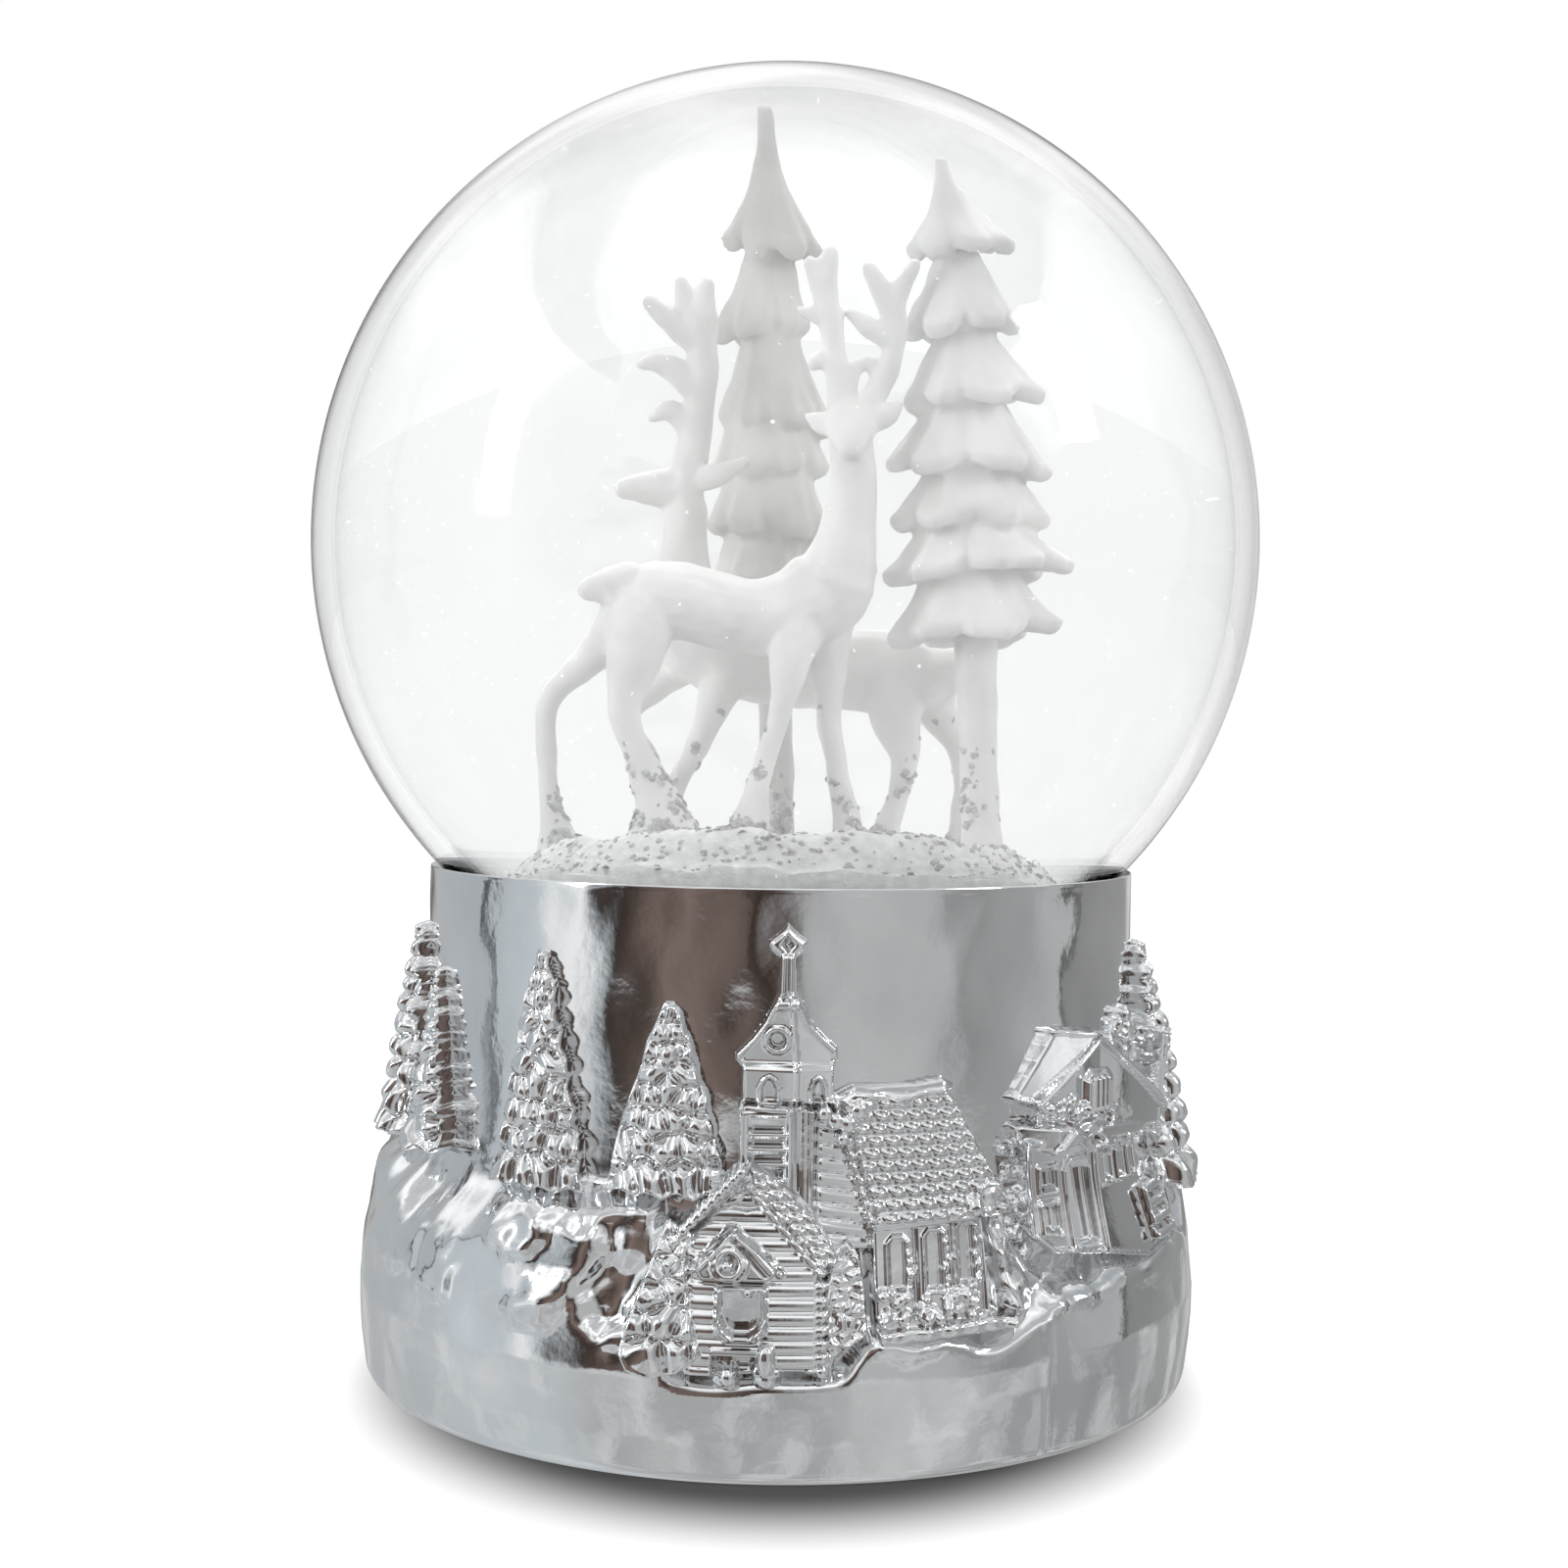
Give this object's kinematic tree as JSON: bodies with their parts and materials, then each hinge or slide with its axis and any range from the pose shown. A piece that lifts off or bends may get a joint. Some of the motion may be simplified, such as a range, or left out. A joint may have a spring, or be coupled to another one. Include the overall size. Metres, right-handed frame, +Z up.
{
  "type": "musical snow globe",
  "caption": "Water-filled glass snow globe with two stags and fir trees, on a silver-plated base with a village in relief and a wind-up musical movement inside.",
  "frame": {"origin": "centre of the ring that the base stands on", "axes": "+Z up through the top of the globe; the front of the relief village faces -Y; +X is to the viewer's right"},
  "size_m": [0.1, 0.1, 0.136],
  "materials": {
    "silver_plating": "polished",
    "clear_glass": "gloss",
    "clear_water": "gloss",
    "pale_rubber": "matte",
    "white_resin": "matte",
    "black_plastic": "satin",
    "white_plastic": "satin",
    "screw_steel": "satin",
    "cast_zinc": "matte",
    "plated_steel": "satin",
    "spring_steel": "satin",
    "comb_steel": "satin",
    "brass": "satin"
  },
  "bodies": {
    "globe_and_base": {"base_shell": "silver_plating", "glass_globe": "clear_glass", "water_fill": "clear_water", "neck_stopper": "pale_rubber", "snow_mound": "white_resin", "front_stag": "white_resin", "rear_stag": "white_resin", "tall_tree": "white_resin", "right_tree": "white_resin", "bottom_cover": "black_plastic", "cover_screw_1": "screw_steel", "cover_screw_2": "screw_steel", "cover_screw_3": "screw_steel", "movement_screw_1": "screw_steel", "movement_screw_2": "screw_steel", "movement_screw_3": "screw_steel", "movement_bedplate": "cast_zinc", "spring_housing": "plated_steel", "housing_screw_1": "screw_steel", "housing_screw_2": "screw_steel", "mainspring": "spring_steel", "music_comb": "comb_steel", "comb_screw_1": "screw_steel", "comb_screw_2": "screw_steel", "governor_bracket": "plated_steel", "governor_screw": "screw_steel"},
    "winding_train": {"winding_key": "brass", "winding_arbor": "plated_steel", "great_wheel": "brass"},
    "music_cylinder": {"pin_cylinder": "brass", "crown_pinion": "brass", "cylinder_gear": "white_plastic", "cylinder_shaft": "plated_steel"},
    "intermediate_train": {"intermediate_pinion": "brass", "worm_wheel": "white_plastic", "intermediate_shaft": "plated_steel"},
    "governor": {"governor_worm": "white_plastic", "governor_fan": "white_plastic"}
  },
  "joints": [
    {"name": "winding_turn", "type": "hinge", "parent": "globe_and_base", "child": "winding_train", "pos_m": [-0.012, 0, 0.01], "axis": [0, 0, 1], "continuous": true},
    {"name": "cylinder_turn", "type": "hinge", "parent": "globe_and_base", "child": "music_cylinder", "pos_m": [0.01, 0, 0.022], "axis": [1, 0, 0], "continuous": true},
    {"name": "intermediate_turn", "type": "hinge", "parent": "globe_and_base", "child": "intermediate_train", "pos_m": [0.02, 0.009, 0.022], "axis": [1, 0, 0], "continuous": true},
    {"name": "governor_turn", "type": "hinge", "parent": "globe_and_base", "child": "governor", "pos_m": [0.02308, 0.0158, 0.022], "axis": [0, 0, 1], "continuous": true}
  ],
  "couplings": [
    {"joint": "cylinder_turn", "follows": "winding_turn", "ratio": 2.5},
    {"joint": "intermediate_turn", "follows": "winding_turn", "ratio": -5},
    {"joint": "governor_turn", "follows": "winding_turn", "ratio": 40}
  ]
}
